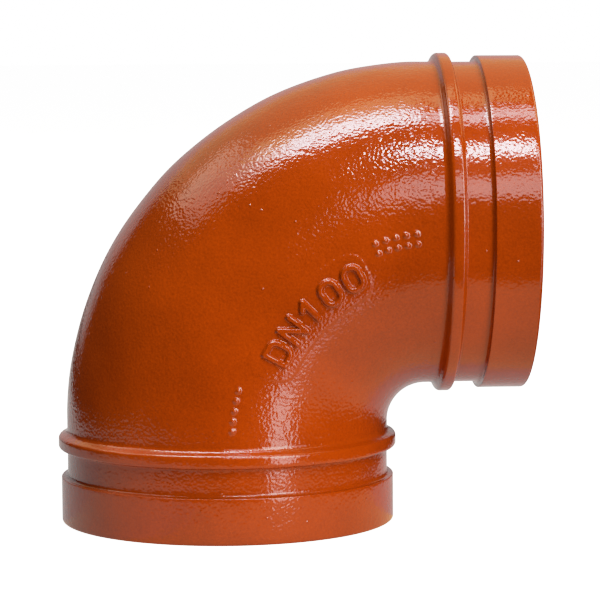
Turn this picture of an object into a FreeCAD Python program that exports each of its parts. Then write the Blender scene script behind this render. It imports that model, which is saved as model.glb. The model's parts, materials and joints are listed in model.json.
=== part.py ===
import FreeCAD, Part

import math
import os

import Sketcher
from FreeCAD import Placement, Rotation, Vector

# A 90 degree elbow with grooved ends for DN100 (4 inch) pipe: one hollow ductile iron casting.
# It is modelled in the regions of that casting: two grooved ends, the bend between them, and the
# raised cast marks on the bend's side.
#
# Frame, in millimetres: the origin is the centre of the lower end's face, +Z runs up the lower
# end's axis, +X runs out along the side end's axis, and the marks are on the -Y side.

doc = FreeCAD.newDocument("grooved_elbow")

# ---------------------------------------------------------------- driving dimensions

DIMENSIONS = [
    ("end_diameter", 114.3, "outside diameter at the ends, the same as the pipe's"),
    ("centre_to_end", 101.6, "from where the two axes meet to either end face"),
    ("bend_radius", 67.8, "radius of the bend's centre line"),
    ("bore_diameter", 100.0, "waterway, through the ends and the bend"),
    ("body_diameter", 110.3, "outside diameter of the bend"),
    ("edge_rounding", 0.8, "on the outer edge of an end face"),
    ("land_length", 15.6, "full diameter land, from the end face to the groove"),
    ("groove_diameter", 110.08, "floor of the coupling groove"),
    ("groove_start", 16.1, "the floor's near side, from the end face"),
    ("groove_finish", 24.6, "the floor's far side, from the end face"),
    ("bead_diameter", 116.2, "crest of the raised bead behind the groove"),
    ("bead_start", 25.6, "the crest's near side, from the end face"),
    ("bead_finish", 29.6, "the crest's far side, from the end face"),
    ("bead_root", 31.2, "where the bead meets the body, from the end face"),
    ("bead_rounding", 1.2, "on both edges of the bead's crest"),
    ("mark_baseline", 56.0, "feet of the size mark's characters, from the bend's axis"),
    ("mark_tall", 9.3, "height of a character"),
    ("mark_wide", 7.2, "width of a character"),
    ("mark_stroke", 1.8, "width of a stroke"),
    ("mark_corner", 3.2, "outer radius of a round character's corners"),
    ("mark_relief", 1.2, "how far a character stands out of the body"),
    ("slant_width", 2.1, "width of the N's diagonal, measured level"),
    ("slant_notch", 3.4, "depth of the N's two notches short of a stem's full height"),
    ("flag_length", 2.6, "flag of the figure one, out and down"),
    ("mark_first", 28.9, "angle of the first character round the bend, in degrees"),
    ("mark_pitch", 8.2, "angle from one character to the next, in degrees"),
    ("pip_diameter", 2.0, "a round casting pip"),
    ("pip_relief", 0.6, "how far a pip stands out of the body"),
    ("pip_pitch", 3.4, "distance from one pip to the next"),
    ("side_pips_angle", 77.5, "middle of the side end's pips round the bend, in degrees"),
    ("side_pips_reach", 66.5, "middle of the side end's pips, from the bend's axis"),
    ("lower_pips_angle", 8.8, "middle of the lower end's pips round the bend, in degrees"),
    ("lower_pips_reach", 68.5, "middle of the lower end's pips, from the bend's axis"),
]

sheet = doc.addObject("Spreadsheet::Sheet", "Dims")
for row, (alias, value, meaning) in enumerate(DIMENSIONS, start=1):
    sheet.set(f"A{row}", alias)
    sheet.set(f"B{row}", str(value))
    sheet.setAlias(f"B{row}", alias)
    sheet.set(f"C{row}", meaning)
doc.recompute()

LEG_LENGTH = "Dims.centre_to_end - Dims.bend_radius"
BODY_RADIUS = "Dims.body_diameter / 2"
BORE_RADIUS = "Dims.bore_diameter / 2"


# ---------------------------------------------------------------- shared steps


def draw_outline(sketch, corners):
    """Draw a closed outline, counter-clockwise, with every corner tied to the sheet.

    A corner is (x formula, y formula) and is followed by a straight line to the next one, or
    (x formula, y formula, radius formula) and is followed by an arc that bulges outwards. A y
    formula of "0" puts the corner on the sketch's horizontal axis.
    """
    points = [
        Vector(sketch.evalExpression(corner[0]), sketch.evalExpression(corner[1]), 0)
        for corner in corners
    ]
    first = sketch.GeometryCount
    for here, corner in enumerate(corners):
        start, end = points[here], points[(here + 1) % len(points)]
        if len(corner) == 2:
            sketch.addGeometry(Part.LineSegment(start, end))
            continue
        radius = float(sketch.evalExpression(corner[2]))
        chord = end - start
        rise = math.sqrt(radius**2 - (chord.Length / 2) ** 2)
        inward = Vector(-chord.y, chord.x, 0).normalize()
        centre = start + chord / 2 + inward * rise
        start_angle = math.atan2(start.y - centre.y, start.x - centre.x)
        end_angle = math.atan2(end.y - centre.y, end.x - centre.x)
        circle = Part.Circle(centre, Vector(0, 0, 1), radius)
        sketch.addGeometry(Part.ArcOfCircle(circle, start_angle, end_angle))

    for here, corner in enumerate(corners):
        this_edge = first + here
        next_edge = first + (here + 1) % len(corners)
        sketch.addConstraint(Sketcher.Constraint("Coincident", this_edge, 2, next_edge, 1))
        tie(sketch, "DistanceX", (this_edge, 1), points[here].x, corner[0])
        if corner[1] == "0":
            sketch.addConstraint(Sketcher.Constraint("PointOnObject", this_edge, 1, -1))
        else:
            tie(sketch, "DistanceY", (this_edge, 1), points[here].y, corner[1])
        if len(corner) == 3:
            radius = float(sketch.evalExpression(corner[2]))
            tie(sketch, "Radius", (this_edge,), radius, corner[2])


def tie(sketch, kind, where, value, formula):
    """Add one dimension to a sketch and bind it to a formula of the sheet."""
    number = sketch.addConstraint(Sketcher.Constraint(kind, *where, float(value)))
    sketch.setExpression(f"Constraints[{number}]", formula)


def new_body(label, origin, rotation=Rotation()):
    """An empty body whose origin is three formulas of the sheet, or None where it is zero."""
    body = doc.addObject("PartDesign::Body", label)
    body.Label = label
    body.Placement = Placement(Vector(), rotation)
    for axis, formula in zip("xyz", origin):
        if formula:
            body.setExpression(f".Placement.Base.{axis}", formula)
    return body


def new_body_sketch(body, name, plane_role):
    """A sketch on one of the body's own origin planes."""
    sketch = body.newObject("Sketcher::SketchObject", name)
    plane = next(part for part in body.Origin.OriginFeatures if part.Role == plane_role)
    sketch.AttachmentSupport = (plane, "")
    sketch.MapMode = "FlatFace"
    return sketch


def new_revolution(body, name, sketch, angle):
    """Turn a body's sketch round the sketch's vertical axis."""
    turned = body.newObject("PartDesign::Revolution", name)
    turned.Profile = sketch
    turned.ReferenceAxis = (sketch, ["V_Axis"])
    turned.Angle = angle
    sketch.Visibility = False
    doc.recompute()
    return turned


def circle_edges(shape, diameter, height):
    """Names of a turned shape's round edges of one diameter at one height above its base."""
    names = []
    for number, edge in enumerate(shape.Edges, start=1):
        if not isinstance(edge.Curve, Part.Circle):
            continue
        same_radius = abs(edge.Curve.Radius - diameter / 2) < 0.01
        same_height = abs(edge.Curve.Center.z - height) < 0.01
        if same_radius and same_height:
            names.append(f"Edge{number}")
    return names


def new_fillet(body, name, base, edges, radius_formula):
    """Round some edges of the body's last feature."""
    fillet = body.newObject("PartDesign::Fillet", name)
    fillet.Base = (base, edges)
    fillet.setExpression("Radius", radius_formula)
    doc.recompute()
    return fillet


# ---------------------------------------------------------------- grooved ends


def make_grooved_end(label, origin, rotation=Rotation()):
    """One end: land, coupling groove and bead outside, plain bore inside.

    Its own +Z runs from the end face into the casting, as far as the start of the bend.
    """
    body = new_body(label, origin, rotation)
    profile = new_body_sketch(body, f"{label}_profile", "XZ_Plane")
    draw_outline(
        profile,
        [
            (BORE_RADIUS, "0"),
            ("Dims.end_diameter / 2", "0"),
            ("Dims.end_diameter / 2", "Dims.land_length"),
            ("Dims.groove_diameter / 2", "Dims.groove_start"),
            ("Dims.groove_diameter / 2", "Dims.groove_finish"),
            ("Dims.bead_diameter / 2", "Dims.bead_start"),
            ("Dims.bead_diameter / 2", "Dims.bead_finish"),
            (BODY_RADIUS, "Dims.bead_root"),
            (BODY_RADIUS, LEG_LENGTH),
            (BORE_RADIUS, LEG_LENGTH),
        ],
    )
    turned = new_revolution(body, f"{label}_turned", profile, 360)

    face_edge = circle_edges(turned.Shape, sheet.end_diameter, 0)
    rounded = new_fillet(body, f"{label}_edge", turned, face_edge, "Dims.edge_rounding")

    crest_edges = circle_edges(rounded.Shape, sheet.bead_diameter, sheet.bead_start)
    crest_edges += circle_edges(rounded.Shape, sheet.bead_diameter, sheet.bead_finish)
    new_fillet(body, f"{label}_bead", rounded, crest_edges, "Dims.bead_rounding")
    return body


lower_grooved_end = make_grooved_end("lower_grooved_end", (None, None, None))
side_grooved_end = make_grooved_end(
    "side_grooved_end",
    ("Dims.centre_to_end", None, "Dims.centre_to_end"),
    Rotation(Vector(0, 1, 0), -90),
)


# ---------------------------------------------------------------- bend


def make_bend_shell():
    """A quarter turn of a pipe section. The body's origin is on the bend's own axis."""
    body = new_body("bend_shell", ("Dims.bend_radius", None, LEG_LENGTH))
    section = new_body_sketch(body, "bend_section", "XY_Plane")
    centre = Vector(-sheet.bend_radius, 0, 0)
    for formula in (BODY_RADIUS, BORE_RADIUS):
        radius = float(section.evalExpression(formula))
        ring = section.addGeometry(Part.Circle(centre, Vector(0, 0, 1), radius))
        section.addConstraint(Sketcher.Constraint("PointOnObject", ring, 3, -1))
        tie(section, "DistanceX", (ring, 3), centre.x, "-Dims.bend_radius")
        tie(section, "Radius", (ring,), radius, formula)
    new_revolution(body, "bend_turned", section, 90)
    return body


bend_shell = make_bend_shell()


# ---------------------------------------------------------------- raised marks

# The marks lie on the bend, so each is a straight solid that runs out sideways through the wall's
# outer surface, cut down to a thin band that follows this surface.

MARK_START_DEPTH = 50.0  # mm from the middle plane, under the body's surface beneath every mark
MARK_REACH = 10.0  # mm, enough to come out of the band


def face_the_side(angle):
    """Turn a drawing to face -Y, its own +Y pointing away from the bend's axis at this angle.

    The angle runs round the bend in degrees: 0 at the lower end and 90 at the side end.
    """
    upright = Rotation(Vector(1, 0, 0), 90)
    return Rotation(Vector(0, -1, 0), 90 - angle) * upright


def put_on_bend_axis(thing, rotation):
    """Place a drawing or a solid with its origin on the bend's axis."""
    thing.Placement = Placement(Vector(0, -MARK_START_DEPTH, 0), rotation)
    thing.setExpression(".Placement.Base.x", "Dims.bend_radius")
    thing.setExpression(".Placement.Base.z", LEG_LENGTH)


def make_relief_band(name, relief_formula):
    """The layer between the bend's outer surface and the same surface raised by the relief."""
    rings = []
    for layer, formula in (("raised", f"{BODY_RADIUS} + {relief_formula}"), ("body", BODY_RADIUS)):
        ring = doc.addObject("Part::Torus", f"{name}_{layer}")
        ring.setExpression("Radius1", "Dims.bend_radius")
        ring.setExpression("Radius2", formula)
        ring.Placement = Placement(Vector(), Rotation(Vector(1, 0, 0), 90))
        ring.setExpression(".Placement.Base.x", "Dims.bend_radius")
        ring.setExpression(".Placement.Base.z", LEG_LENGTH)
        rings.append(ring)
    band = doc.addObject("Part::Cut", name)
    band.Base, band.Tool = rings
    return band


def trim_to_band(name, solids, band):
    """One sub-part from several solids, each cut down to the relief band."""
    trimmed = []
    for solid in solids:
        common = doc.addObject("Part::Common", f"{solid.Name}_trimmed")
        common.Base = solid
        common.Tool = band
        trimmed.append(common)
    group = doc.addObject("Part::Compound", name)
    group.Label = name
    group.Links = trimmed
    return group


LEFT = "-Dims.mark_wide / 2"
RIGHT = "Dims.mark_wide / 2"
FOOT = "Dims.mark_baseline"
TOP = "Dims.mark_baseline + Dims.mark_tall"


def draw_letter_d(sketch):
    """A stem on the left and a bowl with two round corners on the right."""
    for inset, corner in (("0", "Dims.mark_corner"), ("Dims.mark_stroke", "Dims.mark_corner / 2")):
        left, right = f"{LEFT} + {inset}", f"{RIGHT} - {inset}"
        foot, top = f"{FOOT} + {inset}", f"{TOP} - {inset}"
        draw_outline(
            sketch,
            [
                (left, foot),
                (f"{right} - {corner}", foot, corner),
                (right, f"{foot} + {corner}"),
                (right, f"{top} - {corner}", corner),
                (f"{right} - {corner}", top),
                (left, top),
            ],
        )


def draw_letter_n(sketch):
    """Two stems and a diagonal from the top of the left one to the foot of the right one."""
    stroke = "Dims.mark_stroke"
    slant = "Dims.slant_width"
    draw_outline(
        sketch,
        [
            (LEFT, FOOT),
            (f"{LEFT} + {stroke}", FOOT),
            (f"{LEFT} + {stroke}", f"{TOP} - Dims.slant_notch"),
            (f"{RIGHT} - {slant}", FOOT),
            (RIGHT, FOOT),
            (RIGHT, TOP),
            (f"{RIGHT} - {stroke}", TOP),
            (f"{RIGHT} - {stroke}", f"{FOOT} + Dims.slant_notch"),
            (f"{LEFT} + {slant}", TOP),
            (LEFT, TOP),
        ],
    )


def draw_figure_one(sketch):
    """A plain stem with a short flag at its top left."""
    half = "Dims.mark_stroke / 2"
    flag = "Dims.flag_length"
    draw_outline(
        sketch,
        [
            (f"-{half}", FOOT),
            (half, FOOT),
            (half, TOP),
            (f"-{half}", TOP),
            (f"-{half} - {flag}", f"{TOP} - {flag}"),
            (f"-{half} - {flag}", f"{TOP} - 2 * {flag}"),
            (f"-{half}", f"{TOP} - {flag}"),
        ],
    )


def draw_figure_zero(sketch):
    """A tall ring with four round corners."""
    for inset, corner in (("0", "Dims.mark_corner"), ("Dims.mark_stroke", "Dims.mark_corner / 2")):
        left, right = f"{LEFT} + {inset}", f"{RIGHT} - {inset}"
        foot, top = f"{FOOT} + {inset}", f"{TOP} - {inset}"
        draw_outline(
            sketch,
            [
                (f"{left} + {corner}", foot),
                (f"{right} - {corner}", foot, corner),
                (right, f"{foot} + {corner}"),
                (right, f"{top} - {corner}", corner),
                (f"{right} - {corner}", top),
                (f"{left} + {corner}", top, corner),
                (left, f"{top} - {corner}"),
                (left, f"{foot} + {corner}", corner),
            ],
        )


def make_size_mark(band):
    """The nominal size in raised characters, read from the lower end to the side end."""
    drawings = [
        ("letter_d", draw_letter_d),
        ("letter_n", draw_letter_n),
        ("figure_one", draw_figure_one),
        ("first_zero", draw_figure_zero),
        ("second_zero", draw_figure_zero),
    ]
    characters = []
    for place, (name, draw) in enumerate(drawings):
        sketch = doc.addObject("Sketcher::SketchObject", f"{name}_outline")
        put_on_bend_axis(sketch, face_the_side(sheet.mark_first + place * sheet.mark_pitch))
        draw(sketch)
        character = doc.addObject("Part::Extrusion", name)
        character.Base = sketch
        character.DirMode = "Custom"
        character.Dir = Vector(0, -1, 0)
        character.LengthFwd = MARK_REACH
        character.Solid = True
        character.FaceMakerClass = "Part::FaceMakerBullseye"
        characters.append(character)
    return trim_to_band("raised_size_mark", characters, band)


def make_pip_rows(name, place, rows, columns, band):
    """Rows of round casting pips, along the bend, about a point that the sheet gives."""
    middle_angle = sheet.get(f"{place}_angle")
    middle_radius = sheet.get(f"{place}_reach")
    pips = []
    for row in range(rows):
        radius = middle_radius + (row - (rows - 1) / 2) * sheet.pip_pitch
        for column in range(columns):
            step = (column - (columns - 1) / 2) * sheet.pip_pitch
            angle = math.radians(middle_angle) + step / middle_radius
            out = Vector(-math.cos(angle), 0, math.sin(angle)) * radius
            pip = doc.addObject("Part::Cylinder", f"{name}_{row}_{column}")
            pip.setExpression("Radius", "Dims.pip_diameter / 2")
            pip.Height = MARK_REACH
            centre = Vector(sheet.bend_radius, 0, sheet.centre_to_end - sheet.bend_radius)
            base = centre + out + Vector(0, -MARK_START_DEPTH, 0)
            pip.Placement = Placement(base, Rotation(Vector(1, 0, 0), 90))
            pips.append(pip)
    return trim_to_band(name, pips, band)


mark_band = make_relief_band("mark_band", "Dims.mark_relief")
pip_band = make_relief_band("pip_band", "Dims.pip_relief")
raised_size_mark = make_size_mark(mark_band)
side_end_pips = make_pip_rows("side_end_pips", "side_pips", 2, 5, pip_band)
lower_end_pips = make_pip_rows("lower_end_pips", "lower_pips", 1, 5, pip_band)


# ---------------------------------------------------------------- check and write

SUB_PARTS = [
    (lower_grooved_end, 1),
    (side_grooved_end, 1),
    (bend_shell, 1),
    (raised_size_mark, 5),
    (side_end_pips, 10),
    (lower_end_pips, 5),
]

doc.recompute()
for thing in doc.Objects:
    if "Invalid" in thing.State or "Error" in thing.State:
        raise RuntimeError(f"{thing.Name} failed: {thing.State}")

for sub_part, solid_count in SUB_PARTS:
    shape = sub_part.Shape
    if shape.isNull() or not shape.isValid():
        raise RuntimeError(f"{sub_part.Label} has no valid shape")
    if len(shape.Solids) != solid_count:
        raise RuntimeError(f"{sub_part.Label} has {len(shape.Solids)} solids")

# A turned section's volume is its area times the way that its centre travels.
bend_section_area = math.pi * (sheet.body_diameter**2 - sheet.bore_diameter**2) / 4
bend_volume = bend_section_area * sheet.bend_radius * math.pi / 2
if abs(bend_shell.Shape.Volume - bend_volume) > 0.001 * bend_volume:
    raise RuntimeError("the bend isn't a full quarter turn")

os.makedirs("parts", exist_ok=True)
for sub_part, solid_count in SUB_PARTS:
    sub_part.Shape.exportStep(f"parts/{sub_part.Label}.step")
    print(f"{sub_part.Label}: {solid_count} solids, {sub_part.Shape.Volume:.0f} mm3")
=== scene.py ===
import json
import math

import bpy
import numpy as np
from mathutils import Matrix, Vector


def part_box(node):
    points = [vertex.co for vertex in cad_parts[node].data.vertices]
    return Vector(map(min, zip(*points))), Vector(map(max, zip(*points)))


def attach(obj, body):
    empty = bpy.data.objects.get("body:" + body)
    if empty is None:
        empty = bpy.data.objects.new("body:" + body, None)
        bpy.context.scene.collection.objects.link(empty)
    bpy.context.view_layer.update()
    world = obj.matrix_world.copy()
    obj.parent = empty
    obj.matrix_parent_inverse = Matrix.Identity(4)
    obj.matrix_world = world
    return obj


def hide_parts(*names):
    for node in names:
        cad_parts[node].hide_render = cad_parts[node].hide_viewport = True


# The looks of a grooved 90 degree pipe elbow: one iron casting under glossy orange enamel.
# The casting's skin is drawn in three pieces, one for each region of the CAD model: the two
# grooved ends and the bend, which also carries the raised marks. Everything is in metres.

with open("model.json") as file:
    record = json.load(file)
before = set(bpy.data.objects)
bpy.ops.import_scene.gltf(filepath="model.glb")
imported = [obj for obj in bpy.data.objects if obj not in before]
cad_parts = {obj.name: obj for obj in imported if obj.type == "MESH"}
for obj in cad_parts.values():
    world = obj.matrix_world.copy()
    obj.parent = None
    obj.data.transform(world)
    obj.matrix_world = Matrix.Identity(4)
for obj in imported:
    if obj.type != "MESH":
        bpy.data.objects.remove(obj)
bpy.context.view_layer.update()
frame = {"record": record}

MM = 0.001


def mount_radius(name):
    """The radius of one of the part's round mounts."""
    mount = next(m for m in frame["record"]["mounts"] if m["name"] == name)
    return mount["dims"]["r_mm"] * MM


# ---------------------------------------------------------------- sizes

END_RADIUS = mount_radius("lower_spigot")
BORE_RADIUS = mount_radius("lower_bore")
LEG_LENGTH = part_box("lower_grooved_end")[1].z
CENTRE_TO_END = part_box("side_grooved_end")[1].x
BEND_RADIUS = CENTRE_TO_END - LEG_LENGTH
BODY_RADIUS = 55.15 * MM
GROOVE_RADIUS = 55.04 * MM
BEAD_RADIUS = 58.1 * MM

# ---------------------------------------------------------------- the casting as a tube

# A point of the skin is (along, around, out): the way along the centre line from the lower face,
# the angle round the tube from the outside of the bend towards -Y, and the distance from the
# centre line.

BEND_LENGTH = BEND_RADIUS * math.pi / 2
WHOLE_LENGTH = 2 * LEG_LENGTH + BEND_LENGTH


def tube_points(along, around, out):
    """Points of the tube as an array (..., 3)."""
    along, around, out = np.broadcast_arrays(along, around, out)
    turn = np.clip((along - LEG_LENGTH) / BEND_RADIUS, 0, math.pi / 2)
    before = np.minimum(along - LEG_LENGTH, 0)
    after = np.maximum(along - LEG_LENGTH - BEND_LENGTH, 0)
    reach = BEND_RADIUS + out * np.cos(around)
    x = BEND_RADIUS - reach * np.cos(turn) + after
    z = LEG_LENGTH + reach * np.sin(turn) + before
    return np.stack([x, -out * np.sin(around), z], axis=-1)


# ---------------------------------------------------------------- relief


def smooth_step(low, high, value):
    """0 below low, 1 above high, and a soft ramp between them. low may be the larger."""
    t = np.clip((value - low) / (high - low), 0, 1)
    return t * t * (3 - 2 * t)


def arc_points(centre, radius, start, end, steps=8):
    """Points along a round stroke, with its angles in degrees."""
    angles = np.radians(np.linspace(start, end, steps + 1))
    return [(centre[0] + radius * math.cos(a), centre[1] + radius * math.sin(a)) for a in angles]


MARK_BASELINE = 56.0 * MM
MARK_TALL = 9.3 * MM
MARK_WIDE = 7.2 * MM
MARK_STROKE = 1.8 * MM
MARK_RELIEF = 1.2 * MM
MARK_SOFTNESS = 0.36 * MM
MARK_CORNER = 2.4 * MM
MARK_FIRST = math.radians(28.9)
MARK_PITCH = math.radians(8.2)

STROKE_LEFT = -MARK_WIDE / 2 + MARK_STROKE / 2
STROKE_RIGHT = -STROKE_LEFT
STROKE_FOOT = MARK_STROKE / 2
STROKE_TOP = MARK_TALL - MARK_STROKE / 2


def round_corner(x_side, y_side):
    """The middle of a round character's corner."""
    x = x_side * (STROKE_RIGHT - MARK_CORNER)
    y = STROKE_TOP - MARK_CORNER if y_side > 0 else STROKE_FOOT + MARK_CORNER
    return x, y


def letter_d():
    """Middle lines of the strokes, each a list of points."""
    bowl = [(STROKE_LEFT, STROKE_FOOT)]
    bowl += arc_points(round_corner(1, -1), MARK_CORNER, -90, 0)
    bowl += arc_points(round_corner(1, 1), MARK_CORNER, 0, 90)
    return [bowl + [(STROKE_LEFT, STROKE_TOP), (STROKE_LEFT, STROKE_FOOT)]]


def letter_n():
    """Up, down the diagonal and up again."""
    corners = [
        (STROKE_LEFT, STROKE_FOOT),
        (STROKE_LEFT, STROKE_TOP),
        (STROKE_RIGHT, STROKE_FOOT),
        (STROKE_RIGHT, STROKE_TOP),
    ]
    return [corners]


FLAG_REACH = 2.1 * MM


def figure_one():
    """A stem with a short flag."""
    return [[(0, STROKE_FOOT), (0, STROKE_TOP), (-FLAG_REACH, STROKE_TOP - FLAG_REACH)]]


def figure_zero():
    """A tall closed ring."""
    ring = arc_points(round_corner(1, -1), MARK_CORNER, -90, 0)
    ring += arc_points(round_corner(1, 1), MARK_CORNER, 0, 90)
    ring += arc_points(round_corner(-1, 1), MARK_CORNER, 90, 180)
    ring += arc_points(round_corner(-1, -1), MARK_CORNER, 180, 270)
    return [ring + ring[:1]]


SIZE_MARK = [letter_d(), letter_n(), figure_one(), figure_zero(), figure_zero()]


def distance_to_strokes(x, y, strokes):
    """Distance from each point to the nearest of some strokes' middle lines."""
    nearest = np.full(x.shape, 1.0)
    for stroke in strokes:
        for (ax, ay), (bx, by) in zip(stroke, stroke[1:]):
            along_x, along_y = bx - ax, by - ay
            length_squared = along_x**2 + along_y**2
            t = np.clip(((x - ax) * along_x + (y - ay) * along_y) / length_squared, 0, 1)
            gap = np.hypot(x - ax - t * along_x, y - ay - t * along_y)
            nearest = np.minimum(nearest, gap)
    return nearest


def size_mark_relief(turn, reach):
    """Height of the five characters at an angle round the bend and a distance from its axis."""
    relief = np.zeros(turn.shape)
    for place, strokes in enumerate(SIZE_MARK):
        lean = turn - (MARK_FIRST + place * MARK_PITCH)
        x = reach * np.sin(lean)
        y = reach * np.cos(lean) - MARK_BASELINE
        gap = distance_to_strokes(x, y, strokes)
        edge = MARK_STROKE / 2
        relief = np.maximum(relief, smooth_step(edge + MARK_SOFTNESS, edge - MARK_SOFTNESS, gap))
    return MARK_RELIEF * relief


PIP_RADIUS = 1.0 * MM
PIP_RELIEF = 0.6 * MM
PIP_FOOT, PIP_TOP = 1.25 * PIP_RADIUS, 0.35 * PIP_RADIUS
PIP_PITCH = 3.4 * MM
PIP_ROWS = [  # middle angle, middle distance from the bend's axis, rows, columns
    (math.radians(77.5), 66.5 * MM, 2, 5),
    (math.radians(8.8), 68.5 * MM, 1, 5),
]


def pip_relief(turn, reach):
    """Height of the round casting pips near the two ends."""
    relief = np.zeros(turn.shape)
    for middle_turn, middle_reach, rows, columns in PIP_ROWS:
        for row in range(rows):
            pip_reach = middle_reach + (row - (rows - 1) / 2) * PIP_PITCH
            for column in range(columns):
                pip_turn = middle_turn + (column - (columns - 1) / 2) * PIP_PITCH / middle_reach
                gap_squared = reach**2 + pip_reach**2
                gap_squared = gap_squared - 2 * reach * pip_reach * np.cos(turn - pip_turn)
                gap = np.sqrt(np.maximum(gap_squared, 0))
                dome = smooth_step(PIP_FOOT, PIP_TOP, gap)
                relief = np.maximum(relief, dome)
    return PIP_RELIEF * relief


PLATE_RELIEF = 0.16 * MM
PLATE_EDGE = 0.45 * MM
PLATE_CORNER = 6 * MM
PLATE_START, PLATE_END = math.radians(20), math.radians(67)
PLATE_INNER, PLATE_OUTER = 52.4 * MM, 69 * MM


def plate_relief(turn, reach):
    """The low plate with round corners under the characters, left by an insert in the mould."""
    middle_turn, middle_reach = (PLATE_START + PLATE_END) / 2, (PLATE_INNER + PLATE_OUTER) / 2
    half_long = (PLATE_END - PLATE_START) / 2 * middle_reach
    half_tall = (PLATE_OUTER - PLATE_INNER) / 2
    x = np.abs(turn - middle_turn) * middle_reach - (half_long - PLATE_CORNER)
    y = np.abs(reach - middle_reach) - (half_tall - PLATE_CORNER)
    gap = np.hypot(np.maximum(x, 0), np.maximum(y, 0)) - PLATE_CORNER
    return PLATE_RELIEF * smooth_step(PLATE_EDGE, -PLATE_EDGE, gap)


WAVE_COUNT = 26
WAVE_SHORTEST, WAVE_LONGEST = 13 * MM, 60 * MM
WAVE_SLOPE = 0.0042
WAVE_DIVISOR = 6.3  # about a full turn, so that a wave's height over its length gives its slope
WAVE_SEED = 11


def make_waves():
    """Long low waves in every direction, the unevenness of a sand-cast wall."""
    random = np.random.default_rng(WAVE_SEED)
    waves = []
    for _ in range(WAVE_COUNT):
        length = WAVE_SHORTEST * (WAVE_LONGEST / WAVE_SHORTEST) ** random.random()
        direction = random.normal(size=3)
        direction /= np.linalg.norm(direction)
        phase = random.random() * 2 * math.pi
        waves.append((direction * 2 * math.pi / length, phase, WAVE_SLOPE * length / WAVE_DIVISOR))
    return waves


WAVES = make_waves()


def cast_unevenness(points):
    """How far the skin stands in or out at each point."""
    height = np.zeros(points.shape[:-1])
    for direction, phase, size in WAVES:
        height += size * np.sin(points @ direction + phase)
    return height


SEAM_RELIEF = 0.12 * MM
SEAM_WIDTH = 0.9 * MM
SEAM_TOP = 0.2 * SEAM_WIDTH


def seam_relief(around, out):
    """The faint ground line where the mould's halves met, along the middle plane."""
    sideways = np.abs(out * np.sin(around))
    return SEAM_RELIEF * smooth_step(SEAM_WIDTH, SEAM_TOP, sideways)


# ---------------------------------------------------------------- meshes

SHARPEST_ROUNDING = math.radians(50)


def make_piece(name, along, around, out):
    """A closed mesh from a grid of skin points. The grid joins up in both directions."""
    grid = tube_points(along, around, out)
    rows, columns = grid.shape[:2]
    number = np.arange(rows * columns).reshape(rows, columns)
    next_row = np.roll(number, -1, axis=0)
    next_column = np.roll(number, -1, axis=1)
    corner = np.roll(next_row, -1, axis=1)
    faces = np.stack([number, next_column, corner, next_row], axis=-1).reshape(-1, 4)
    mesh = bpy.data.meshes.new(name)
    mesh.from_pydata(grid.reshape(-1, 3).tolist(), [], faces.tolist())
    mesh.validate()
    mesh.shade_smooth()
    mesh.set_sharp_from_angle(angle=SHARPEST_ROUNDING)
    piece = bpy.data.objects.new(name, mesh)
    bpy.context.scene.collection.objects.link(piece)
    return piece


def round_profile(corners, steps=6):
    """A profile through (along, out, radius) corners, each corner rounded by an arc."""
    points = []
    for here, (along, out, radius) in enumerate(corners):
        corner = np.array([along, out])
        if radius == 0:
            points.append(corner)
            continue
        back = np.array(corners[here - 1][:2]) - corner
        ahead = np.array(corners[(here + 1) % len(corners)][:2]) - corner
        back /= np.linalg.norm(back)
        ahead /= np.linalg.norm(ahead)
        half = math.acos(np.clip(back @ ahead, -1, 1)) / 2
        middle = corner + (back + ahead) / np.linalg.norm(back + ahead) * radius / math.sin(half)
        first = corner + back * radius / math.tan(half) - middle
        last = corner + ahead * radius / math.tan(half) - middle
        for t in np.linspace(0, 1, steps + 1):
            swing = math.pi - 2 * half
            spoke = math.sin((1 - t) * swing) * first + math.sin(t * swing) * last
            points.append(middle + spoke / math.sin(swing))
    return np.array(points)


def refine(points, longest):
    """Split the long straight steps of a closed profile into equal ones."""
    finer = []
    for start, end in zip(points, np.roll(points, -1, axis=0)):
        parts = max(1, math.ceil(np.linalg.norm(end - start) / longest))
        finer += [start + (end - start) * part / parts for part in range(parts)]
    return np.array(finer)


END_COLUMNS = 288
END_STEP = 1.2 * MM
END_UNEVENNESS = 0.35  # how uneven the ends are, as a share of the bend's unevenness
FADE_LENGTH = 3 * MM  # the bend's relief dies away over this length beside each end


def make_grooved_end(name, from_side_end):
    """The skin of one grooved end: outside, end face and bore, as one closed ring."""
    corners = [
        (LEG_LENGTH, BORE_RADIUS, 0),
        (0, BORE_RADIUS, 0.7 * MM),
        (0, END_RADIUS, 0.9 * MM),
        (15.6 * MM, END_RADIUS, 0.3 * MM),
        (15.75 * MM, GROOVE_RADIUS, 1.2 * MM),
        (25.0 * MM, GROOVE_RADIUS, 0.5 * MM),
        (25.6 * MM, BEAD_RADIUS, 1.0 * MM),
        (29.6 * MM, BEAD_RADIUS, 1.4 * MM),
        (31.0 * MM, BODY_RADIUS, 1.9 * MM),
        (LEG_LENGTH, BODY_RADIUS, 0),
    ]
    profile = refine(round_profile(corners), END_STEP)
    if from_side_end:
        profile = profile[::-1] * [-1, 1] + [WHOLE_LENGTH, 0]
    along, out = profile[:, :1], profile[:, 1:]
    around = np.linspace(0, 2 * math.pi, END_COLUMNS, endpoint=False)[None, :]
    flat = tube_points(along, around, out)
    return make_piece(name, along, around, out + END_UNEVENNESS * cast_unevenness(flat))


def spaced(stretches):
    """Numbers along a line, from (start, end, step) stretches that follow each other."""
    numbers = []
    for start, end, step in stretches:
        count = max(1, round((end - start) / step))
        numbers += [start + (end - start) * part / count for part in range(count)]
    return np.array(numbers)


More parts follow.
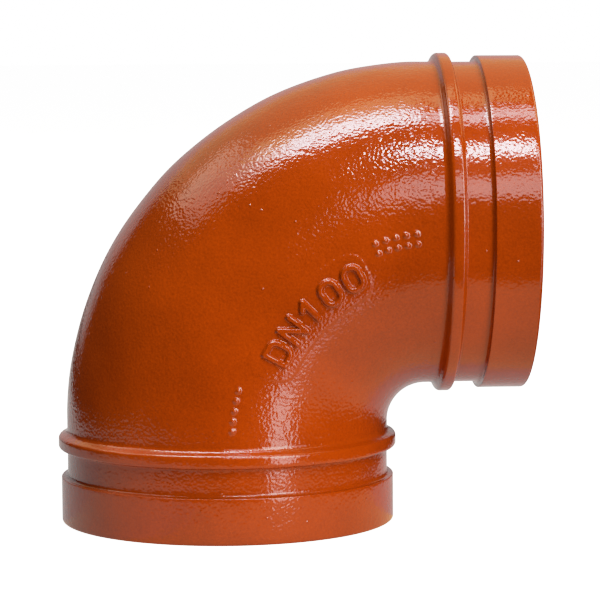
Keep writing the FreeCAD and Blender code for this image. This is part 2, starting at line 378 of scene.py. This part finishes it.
def make_bend(name):
    """The skin of the bend, with its grid finest under the characters."""
    degree = math.pi / 180
    turn = spaced(
        [
            (0, 2 * degree, 0.7 * degree),
            (2 * degree, 15 * degree, 0.36 * degree),
            (15 * degree, 24 * degree, 0.7 * degree),
            (24 * degree, 66.5 * degree, 0.235 * degree),
            (66.5 * degree, 70 * degree, 0.5 * degree),
            (70 * degree, 85 * degree, 0.36 * degree),
            (85 * degree, 90.001 * degree, 0.7 * degree),
        ]
    )
    turn = np.append(turn, 90 * degree)
    around = spaced(
        [
            (0, 84 * degree, 1.7 * degree),
            (84 * degree, 91.5 * degree, 0.42 * degree),
            (91.5 * degree, 103.5 * degree, 0.24 * degree),
            (103.5 * degree, 107 * degree, 0.2 * degree),
            (107 * degree, 360 * degree, 1.8 * degree),
        ]
    )[None, :]
    inner_turn = np.linspace(90 * degree, 0, 61)
    outside = (LEG_LENGTH + turn * BEND_RADIUS)[:, None]
    inside = (LEG_LENGTH + inner_turn * BEND_RADIUS)[:, None]
    along = np.concatenate([outside, inside])
    is_outside = np.concatenate([np.ones(outside.shape), np.zeros(inside.shape)])
    out = BORE_RADIUS + (BODY_RADIUS - BORE_RADIUS) * is_outside + 0 * around

    flat = tube_points(along, around, out)
    reach = BEND_RADIUS + out * np.cos(around)
    bend_turn = (along - LEG_LENGTH) / BEND_RADIUS + 0 * around
    relief = seam_relief(around, out)
    marks = size_mark_relief(bend_turn, reach) + plate_relief(bend_turn, reach)
    marks += pip_relief(bend_turn, reach)
    relief = relief + marks * (np.sin(around) > 0)
    fade = smooth_step(0, FADE_LENGTH, along - LEG_LENGTH)
    fade = fade * smooth_step(0, FADE_LENGTH, LEG_LENGTH + BEND_LENGTH - along)
    uneven = cast_unevenness(flat) * (END_UNEVENNESS + (1 - END_UNEVENNESS) * fade)
    return make_piece(name, along, around, out + is_outside * relief * fade + uneven)


# ---------------------------------------------------------------- enamel


def link(material, source, output, target, socket):
    """Connect one node to another."""
    material.node_tree.links.new(source.outputs[output], target.inputs[socket])


def new_node(material, kind, **settings):
    """Add a node. Settings of its own come first, and the rest are values of its inputs."""
    node = material.node_tree.nodes.new(kind)
    for key, value in settings.items():
        if hasattr(node, key) and key != "color":
            setattr(node, key, value)
        else:
            node.inputs[key.replace("_", " ").title()].default_value = value
    return node


def make_enamel(name, roughcast):
    """Glossy orange enamel over a sand-cast surface. roughcast scales the surface's bumps."""
    enamel = bpy.data.materials.new(name)
    enamel.use_nodes = True
    enamel.node_tree.nodes.clear()
    place = new_node(enamel, "ShaderNodeTexCoord")
    shader = new_node(enamel, "ShaderNodeBsdfPrincipled")
    output = new_node(enamel, "ShaderNodeOutputMaterial")
    link(enamel, shader, "BSDF", output, "Surface")
    shader.inputs["IOR"].default_value = 1.5

    peel = new_node(enamel, "ShaderNodeTexNoise", scale=1100.0, detail=0.5, roughness=0.5)
    lumps = new_node(enamel, "ShaderNodeTexNoise", scale=360.0, detail=1.0, roughness=0.4)
    cloud = new_node(enamel, "ShaderNodeTexNoise", scale=22.0, detail=3.0, roughness=0.55)
    specks = new_node(enamel, "ShaderNodeTexNoise", scale=1300.0, detail=2.0, roughness=0.6)
    nibs = new_node(enamel, "ShaderNodeTexVoronoi", scale=120.0, randomness=1.0)
    for texture in (peel, lumps, cloud, specks, nibs):
        link(enamel, place, "Object", texture, "Vector")

    nib_height = new_node(enamel, "ShaderNodeMapRange", interpolation_type="SMOOTHSTEP")
    for socket, value in (("From Min", 0.0), ("From Max", 0.075), ("To Min", 1.0), ("To Max", 0.0)):
        nib_height.inputs[socket].default_value = value
    link(enamel, nibs, "Distance", nib_height, "Value")

    height = None
    for texture, output_name, share in (
        (peel, "Fac", 0.11 * roughcast),
        (lumps, "Fac", 0.09 * roughcast),
        (nib_height, "Result", 0.16),
    ):
        scaled = new_node(enamel, "ShaderNodeMath", operation="MULTIPLY")
        scaled.inputs[1].default_value = share
        link(enamel, texture, output_name, scaled, 0)
        if height is None:
            height = scaled
            continue
        total = new_node(enamel, "ShaderNodeMath", operation="ADD")
        link(enamel, height, "Value", total, 0)
        link(enamel, scaled, "Value", total, 1)
        height = total
    bump = new_node(enamel, "ShaderNodeBump", strength=1.0, distance=1.0 * MM)
    link(enamel, height, "Value", bump, "Height")
    link(enamel, bump, "Normal", shader, "Normal")

    tone = new_node(enamel, "ShaderNodeMath", operation="MULTIPLY_ADD")
    tone.inputs[1].default_value = 0.6
    link(enamel, specks, "Fac", tone, 0)
    link(enamel, cloud, "Fac", tone, 2)
    colour = new_node(enamel, "ShaderNodeValToRGB")
    colour.color_ramp.elements[0].position = 0.6
    colour.color_ramp.elements[0].color = (0.232, 0.027, 0.0004, 1)
    colour.color_ramp.elements[1].position = 1.0
    colour.color_ramp.elements[1].color = (0.325, 0.0402, 0.0006, 1)
    link(enamel, tone, "Value", colour, "Fac")
    link(enamel, colour, "Color", shader, "Base Color")

    gloss = new_node(enamel, "ShaderNodeMapRange")
    for socket, value in (("From Min", 0.3), ("From Max", 0.7), ("To Min", 0.09), ("To Max", 0.13)):
        gloss.inputs[socket].default_value = value
    link(enamel, cloud, "Fac", gloss, "Value")
    link(enamel, gloss, "Result", shader, "Roughness")
    return enamel


# ---------------------------------------------------------------- the pieces

rough_enamel = make_enamel("rough_enamel", 1.0)
even_enamel = make_enamel("even_enamel", 0.75)
smooth_enamel = make_enamel("smooth_enamel", 0.6)
pieces = [
    (make_grooved_end("lower_end_skin", False), even_enamel, ["lower_grooved_end"]),
    (make_grooved_end("side_end_skin", True), smooth_enamel, ["side_grooved_end"]),
    (
        make_bend("bend_skin"),
        rough_enamel,
        ["bend_shell", "raised_size_mark", "side_end_pips", "lower_end_pips"],
    ),
]
for piece, enamel, nodes in pieces:
    piece.data.materials.append(enamel)
    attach(piece, "root")
    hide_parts(*nodes)

# ---------------------------------------------------------------- studio

WHITE_LEVEL = 2.0
NEUTRAL = (1, 1, 1)
WARM = (1, 0.97, 0.52)
COOL = (0.95, 1, 1.1)
PEACH = (1, 0.92, 0.78)
ORANGE_BOUNCE = (1, 0.72, 0.4)
FLOOR_RADIUS = 12
FLOOR_GLOW, FLOOR_MATT = 1.9, 0.3
TABLE_MATT = 0.08
WORLD_GLOW = 0.012


def stage_material(name, tint, glow, matt):
    """Paper that glows a little by itself. glow and matt are its two strengths."""
    paper = bpy.data.materials.new(name)
    paper.use_nodes = True
    paper.node_tree.nodes.clear()
    light = new_node(paper, "ShaderNodeEmission", color=(*tint, 1), strength=glow)
    matt_white = new_node(paper, "ShaderNodeBsdfDiffuse", color=(matt, matt, matt, 1))
    both = new_node(paper, "ShaderNodeAddShader")
    link(paper, light, "Emission", both, 0)
    link(paper, matt_white, "BSDF", both, 1)
    output = new_node(paper, "ShaderNodeOutputMaterial")
    link(paper, both, "Shader", output, "Surface")
    return paper


def make_floor():
    """The white floor that the camera sees. It takes the shadow and lights nothing itself."""
    bpy.ops.mesh.primitive_circle_add(vertices=96, radius=FLOOR_RADIUS, fill_type="NGON")
    floor = bpy.context.object
    floor.name = "floor"
    floor.data.materials.append(stage_material("floor_paper", NEUTRAL, FLOOR_GLOW, FLOOR_MATT))
    floor.visible_glossy = False
    floor.visible_diffuse = False
    floor.visible_shadow = False


TABLE_TOP = [  # name, left, right, front and back edges in metres, tint, glow
    ("table_near", -0.04, 0.14, -0.16, 0.0, ORANGE_BOUNCE, 0.85),
    ("table_left", -0.28, -0.04, -0.16, 0.0, PEACH, 0.66),
    ("table_back", -0.28, 0.14, 0.0, 4.0, NEUTRAL, 0.5),
]


def make_table(name, left, right, front, back, tint, glow):
    """A piece of the table top that the enamel reflects and the camera doesn't see."""
    bpy.ops.mesh.primitive_plane_add(size=1)
    table = bpy.context.object
    table.name = name
    table.scale = (right - left, back - front, 1)
    table.location = ((left + right) / 2, (front + back) / 2, -0.5 * MM)
    table.data.materials.append(stage_material(f"{name}_paper", tint, glow, TABLE_MATT))
    table.visible_camera = False


def make_world():
    """Almost no light of its own, and white where the camera looks past the floor."""
    world = bpy.data.worlds.new("studio")
    bpy.context.scene.world = world
    world.use_nodes = True
    nodes, links = world.node_tree.nodes, world.node_tree.links
    nodes.clear()
    path = nodes.new("ShaderNodeLightPath")
    dark = nodes.new("ShaderNodeBackground")
    dark.inputs["Color"].default_value = (1, 1, 1, 1)
    dark.inputs["Strength"].default_value = WORLD_GLOW
    white = nodes.new("ShaderNodeBackground")
    white.inputs["Color"].default_value = (1, 1, 1, 1)
    white.inputs["Strength"].default_value = WHITE_LEVEL
    mix = nodes.new("ShaderNodeMixShader")
    output = nodes.new("ShaderNodeOutputWorld")
    links.new(path.outputs["Is Camera Ray"], mix.inputs["Fac"])
    links.new(dark.outputs["Background"], mix.inputs[1])
    links.new(white.outputs["Background"], mix.inputs[2])
    links.new(mix.outputs["Shader"], output.inputs["Surface"])


OBJECT_MIDDLE = Vector((BEND_RADIUS / 2, 0, CENTRE_TO_END))


def make_panel(name, middle, across, up, size, tint, brightness):
    """A rectangular light. Brightness is its radiance, so that a white wall is about 1."""
    light = bpy.data.lights.new(name, "AREA")
    light.shape = "RECTANGLE"
    light.size, light.size_y = size
    light.color = tint
    light.energy = brightness * math.pi * size[0] * size[1]
    panel = bpy.data.objects.new(name, light)
    across, up = Vector(across).normalized(), Vector(up).normalized()
    facing = across.cross(up)
    rotation = Matrix((across, up, facing)).transposed().to_4x4()
    panel.matrix_world = Matrix.Translation(OBJECT_MIDDLE + Vector(middle)) @ rotation
    panel.visible_camera = False
    bpy.context.scene.collection.objects.link(panel)
    return panel


def overhead(name, left, right, front, back, height, tint, brightness):
    """A level panel above the object, given by its edges."""
    middle = ((left + right) / 2, (front + back) / 2, height)
    size = (right - left, back - front)
    return make_panel(name, middle, (1, 0, 0), (0, 1, 0), size, tint, brightness)


def facing_object(name, left, right, low, high, distance, tint, brightness):
    """An upright panel in front of the object, given by its edges."""
    middle = ((left + right) / 2, -distance, (low + high) / 2)
    size = (right - left, high - low)
    return make_panel(name, middle, (1, 0, 0), (0, 0, 1), size, tint, brightness)


# The panels are placed for the reflections seen from the camera, so other sides are less evenly lit.
STUDIO = [  # name, kind, edges in metres from the object's middle, distance, tint, brightness
    ("strip", overhead, (-0.64, 0.1, -0.38, -0.13), 1.6, COOL, 22),
    ("strip_soft", overhead, (-0.64, 0.1, -0.13, -0.03), 1.6, COOL, 13),
    ("strip_edge", overhead, (-0.64, 0.1, -0.03, 0.06), 1.6, COOL, 6),
    ("strip_right", overhead, (0.1, 0.56, -0.36, -0.1), 1.6, COOL, 8),
    ("glow", overhead, (-1.1, 0.3, 0.06, 0.42), 1.62, WARM, 2.7),
    ("ceiling", overhead, (-2.0, 2.0, 0.42, 3.6), 1.64, WARM, 0.7),
    ("right_ceiling", overhead, (0.56, 2.0, -0.42, 0.8), 1.62, WARM, 3),
    ("front_key", facing_object, (-0.1, 0.55, 1.8, 2.5), 1.5, COOL, 29),
    ("front_low", facing_object, (-0.08, 0.5, 0.56, 1.05), 1.5, NEUTRAL, 4.5),
    ("window_foot", facing_object, (0.7, 1.4, -1.4, -0.62), 1.5, NEUTRAL, 2),
    ("window_low", facing_object, (0.75, 1.3, -0.62, 0.0), 1.5, NEUTRAL, 6),
    ("window", facing_object, (0.6, 1.4, 0.0, 2.0), 1.5, NEUTRAL, 10),
    ("far_window", facing_object, (1.4, 2.0, 0.0, 2.4), 1.5, NEUTRAL, 3),
]
for name, kind, edges, distance, tint, brightness in STUDIO:
    kind(name, *edges, distance, tint, brightness)
# Seen in the enamel's reflections, and giving its matt colour no light.
SHEENS = [  # name, edges as above, tint, brightness
    ("near_sheen", -0.86, -0.64, -0.34, 0.06, COOL, 18),
    ("sheen", -1.1, -0.86, -0.3, 0.1, NEUTRAL, 7),
    ("far_sheen", -2.0, -1.1, -0.3, 1.2, PEACH, 2.0),
]
for name, *edges, tint, brightness in SHEENS:
    sheen = overhead(name, *edges, 1.6, tint, brightness)
    sheen.visible_diffuse = False

# The opposite: light thrown up from the table, which no reflection shows.
bounce_middle = (-0.01, -0.11, 1 * MM - OBJECT_MIDDLE.z)
bounce = make_panel("table_bounce", bounce_middle, (-1, 0, 0), (0, 1, 0), (0.22, 0.1), PEACH, 0.42)
bounce.visible_glossy = False

make_panel("backdrop", (-0.6, 3.6, 0.8), (-1, 0, 0), (0, 0, 1), (4, 1.8), NEUTRAL, 0.5)
for piece_of_table in TABLE_TOP:
    make_table(*piece_of_table)
make_floor()
make_world()

# ---------------------------------------------------------------- camera

CAMERA_PLACE = Vector((-0.03843, -0.97868, 0.16915))
CAMERA_AIM = Vector((0.02638, 0.01465, 0.07374))
CAMERA_ROLL = math.radians(-0.356)
LENS_MM, SENSOR_MM = 171.6, 36
FILM_CURVE = [(0.25, 0.25), (0.55, 0.55), (0.85, 0.735), (1.2, 0.86), (1.6, 0.95)]


def make_camera():
    """A long lens a metre away, a little above the middle of the elbow."""
    forward = (CAMERA_AIM - CAMERA_PLACE).normalized()
    level = forward.cross(Vector((0, 0, 1))).normalized()
    upright = level.cross(forward)
    right = level * math.cos(CAMERA_ROLL) + upright * math.sin(CAMERA_ROLL)
    up = right.cross(forward)
    rotation = Matrix((right, up, -forward)).transposed().to_4x4()
    data = bpy.data.cameras.new("camera")
    data.lens = LENS_MM
    data.sensor_width = SENSOR_MM
    camera = bpy.data.objects.new("camera", data)
    camera.matrix_world = Matrix.Translation(CAMERA_PLACE) @ rotation
    bpy.context.scene.collection.objects.link(camera)
    bpy.context.scene.camera = camera


def set_film():
    """The response of a camera: straight in the middle, with a soft shoulder up to white."""
    view = bpy.context.scene.view_settings
    view.view_transform = "Standard"
    view.use_curve_mapping = True
    mapping = view.curve_mapping
    mapping.clip_max_x = WHITE_LEVEL
    curve = mapping.curves[3]
    curve.points[-1].location = (WHITE_LEVEL, 1.0)
    for place in FILM_CURVE:
        curve.points.new(*place)
    mapping.update()


make_camera()
set_film()
